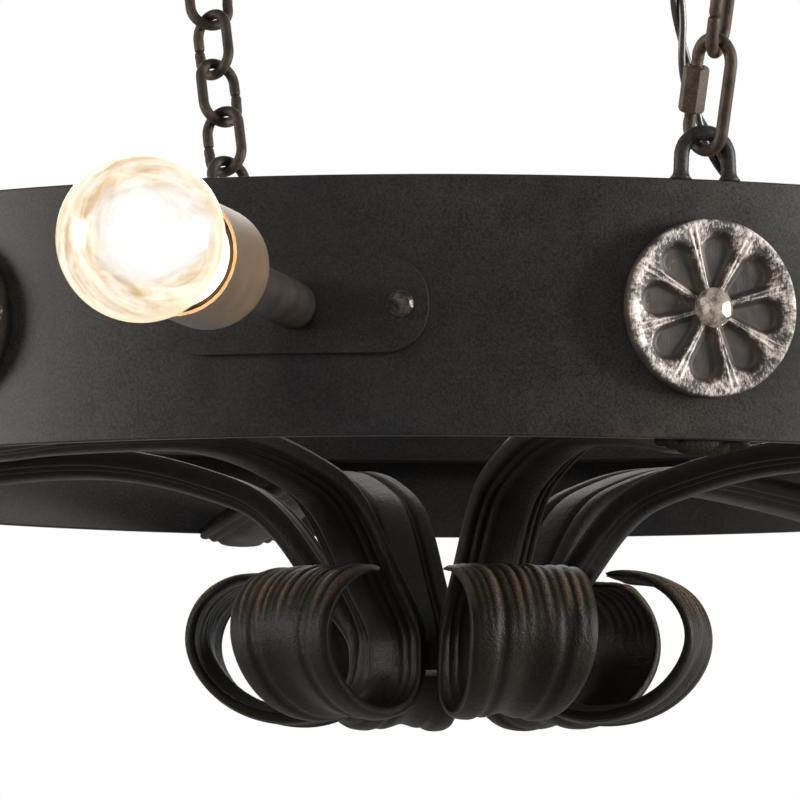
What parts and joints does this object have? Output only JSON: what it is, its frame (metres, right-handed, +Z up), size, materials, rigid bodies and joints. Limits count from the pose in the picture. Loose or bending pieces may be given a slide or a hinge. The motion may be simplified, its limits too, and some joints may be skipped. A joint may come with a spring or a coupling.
{
  "type": "wagon wheel chandelier",
  "caption": "Wagon wheel chandelier: black rim band hung on chains, with scrolled spokes, cast rosettes and bare bulbs on radial arms.",
  "frame": {"origin": "on the wheel's axis, in the plane of the ceiling", "axes": "+Z up along the wheel's axis; chain 1, spoke 1 and rosette 1 towards -Y; lamps halfway between"},
  "size_m": [1.1602, 1.0182, 0.4096],
  "materials": {
    "band_black": "satin black powder coat with fine grain",
    "spoke_bronze": "dark oiled forging, brown-black",
    "rosette_silver": "black casting, dry brushed with silver on the raised parts",
    "rivet_steel": "hammered and brushed",
    "chain_bronze": "dark bronze paint",
    "bulb_glass": "clear glass",
    "bulb_cap": "satin",
    "filament": "clear glass stem with lit strands",
    "holder": "glazed cream",
    "shell": "bright",
    "cord_black": "black twin cord",
    "grommet": "black"
  },
  "bodies": {
    "ceiling": {"ceiling_plates": "band_black", "ceiling_hooks": "band_black", "cord_canopy": "band_black", "supply_cord": "cord_black"},
    "wheel": {"rim_band": "band_black", "wire_raceway": "band_black", "raceway_grommet": "grommet", "hub_core": "spoke_bronze", "spoke_1": "spoke_bronze", "spoke_2": "spoke_bronze", "spoke_3": "spoke_bronze", "spoke_4": "spoke_bronze", "spoke_5": "spoke_bronze", "spoke_6": "spoke_bronze", "rim_staples": "band_black", "rosettes": "rosette_silver", "rosette_rivets": "rivet_steel", "lamp_plates": "band_black", "plate_rivets": "band_black", "lamp_arms": "band_black", "arm_locknuts": "band_black", "socket_sleeves": "band_black", "lampholders": "holder", "screw_shells": "shell"},
    "chain_1_body": {"chain_1": "chain_bronze", "quick_link_1": "chain_bronze"},
    "nut_1_body": {"quick_nut_1": "chain_bronze"},
    "chain_2_body": {"chain_2": "chain_bronze", "quick_link_2": "chain_bronze"},
    "nut_2_body": {"quick_nut_2": "chain_bronze"},
    "chain_3_body": {"chain_3": "chain_bronze", "quick_link_3": "chain_bronze"},
    "nut_3_body": {"quick_nut_3": "chain_bronze"},
    "chain_4_body": {"chain_4": "chain_bronze", "quick_link_4": "chain_bronze"},
    "nut_4_body": {"quick_nut_4": "chain_bronze"},
    "chain_5_body": {"chain_5": "chain_bronze", "quick_link_5": "chain_bronze"},
    "nut_5_body": {"quick_nut_5": "chain_bronze"},
    "chain_6_body": {"chain_6": "chain_bronze", "quick_link_6": "chain_bronze"},
    "nut_6_body": {"quick_nut_6": "chain_bronze"},
    "bulb_1": {"bulb_glass_1": "bulb_glass", "bulb_cap_1": "bulb_cap", "bulb_stem_1": "filament"},
    "bulb_2": {"bulb_glass_2": "bulb_glass", "bulb_cap_2": "bulb_cap", "bulb_stem_2": "filament"},
    "bulb_3": {"bulb_glass_3": "bulb_glass", "bulb_cap_3": "bulb_cap", "bulb_stem_3": "filament"},
    "bulb_4": {"bulb_glass_4": "bulb_glass", "bulb_cap_4": "bulb_cap", "bulb_stem_4": "filament"},
    "bulb_5": {"bulb_glass_5": "bulb_glass", "bulb_cap_5": "bulb_cap", "bulb_stem_5": "filament"},
    "bulb_6": {"bulb_glass_6": "bulb_glass", "bulb_cap_6": "bulb_cap", "bulb_stem_6": "filament"}
  },
  "joints": [
    {"name": "wheel_turn", "type": "hinge", "parent": "ceiling", "child": "wheel", "pos_m": [0, 0, 0], "axis": [0, 0, 1], "range_deg": [-2.5, 2.5], "stiffness_Nm_per_rad": 100, "deforming": ["supply_cord"]},
    {"name": "chain_swing_1", "type": "hinge", "parent": "ceiling", "child": "chain_1_body", "pos_m": [0, -0.36103, -0.036], "axis": [0, -1, 0], "range_deg": [-4.96, 4.96], "deforming": ["supply_cord"]},
    {"name": "quick_nut_1", "type": "slide", "parent": "chain_1_body", "child": "nut_1_body", "axis": [0, -0.3584, 0.9336], "range_m": [0, 0.0058]},
    {"name": "chain_swing_2", "type": "hinge", "parent": "ceiling", "child": "chain_2_body", "pos_m": [0.31266, -0.18051, -0.036], "axis": [0.866, -0.5, 0], "range_deg": [-4.96, 4.96], "deforming": ["supply_cord"]},
    {"name": "quick_nut_2", "type": "slide", "parent": "chain_2_body", "child": "nut_2_body", "axis": [0.3104, -0.1792, 0.9336], "range_m": [0, 0.0058]},
    {"name": "chain_swing_3", "type": "hinge", "parent": "ceiling", "child": "chain_3_body", "pos_m": [0.31266, 0.18051, -0.036], "axis": [0.866, 0.5, 0], "range_deg": [-4.96, 4.96], "deforming": ["supply_cord"]},
    {"name": "quick_nut_3", "type": "slide", "parent": "chain_3_body", "child": "nut_3_body", "axis": [0.3104, 0.1792, 0.9336], "range_m": [0, 0.0058]},
    {"name": "chain_swing_4", "type": "hinge", "parent": "ceiling", "child": "chain_4_body", "pos_m": [0, 0.36103, -0.036], "axis": [0, 1, 0], "range_deg": [-4.96, 4.96], "deforming": ["supply_cord"]},
    {"name": "quick_nut_4", "type": "slide", "parent": "chain_4_body", "child": "nut_4_body", "axis": [0, 0.3584, 0.9336], "range_m": [0, 0.0058]},
    {"name": "chain_swing_5", "type": "hinge", "parent": "ceiling", "child": "chain_5_body", "pos_m": [-0.31266, 0.18051, -0.036], "axis": [-0.866, 0.5, 0], "range_deg": [-4.96, 4.96], "deforming": ["supply_cord"]},
    {"name": "quick_nut_5", "type": "slide", "parent": "chain_5_body", "child": "nut_5_body", "axis": [-0.3104, 0.1792, 0.9336], "range_m": [0, 0.0058]},
    {"name": "chain_swing_6", "type": "hinge", "parent": "ceiling", "child": "chain_6_body", "pos_m": [-0.31266, -0.18051, -0.036], "axis": [-0.866, -0.5, 0], "range_deg": [-4.96, 4.96], "deforming": ["supply_cord"]},
    {"name": "quick_nut_6", "type": "slide", "parent": "chain_6_body", "child": "nut_6_body", "axis": [-0.3104, -0.1792, 0.9336], "range_m": [0, 0.0058]},
    {"name": "bulb_unscrew_1", "type": "slide", "parent": "wheel", "child": "bulb_1", "axis": [0.4915, -0.8709, 0], "range_m": [0, 0.0254]},
    {"name": "bulb_unscrew_2", "type": "slide", "parent": "wheel", "child": "bulb_2", "axis": [1, -0.0098, 0], "range_m": [0, 0.0254]},
    {"name": "bulb_unscrew_3", "type": "slide", "parent": "wheel", "child": "bulb_3", "axis": [0.5085, 0.8611, 0], "range_m": [0, 0.0254]},
    {"name": "bulb_unscrew_4", "type": "slide", "parent": "wheel", "child": "bulb_4", "axis": [-0.4915, 0.8709, 0], "range_m": [0, 0.0254]},
    {"name": "bulb_unscrew_5", "type": "slide", "parent": "wheel", "child": "bulb_5", "axis": [-1, 0.0098, 0], "range_m": [0, 0.0254]},
    {"name": "bulb_unscrew_6", "type": "slide", "parent": "wheel", "child": "bulb_6", "axis": [-0.5085, -0.8611, 0], "range_m": [0, 0.0254]}
  ],
  "couplings": [
    {"joint": "chain_swing_1", "follows": "wheel_turn", "ratio": 1.9799},
    {"joint": "chain_swing_2", "follows": "wheel_turn", "ratio": 1.9799},
    {"joint": "chain_swing_3", "follows": "wheel_turn", "ratio": 1.9799},
    {"joint": "chain_swing_4", "follows": "wheel_turn", "ratio": 1.9799},
    {"joint": "chain_swing_5", "follows": "wheel_turn", "ratio": 1.9799},
    {"joint": "chain_swing_6", "follows": "wheel_turn", "ratio": 1.9799}
  ]
}
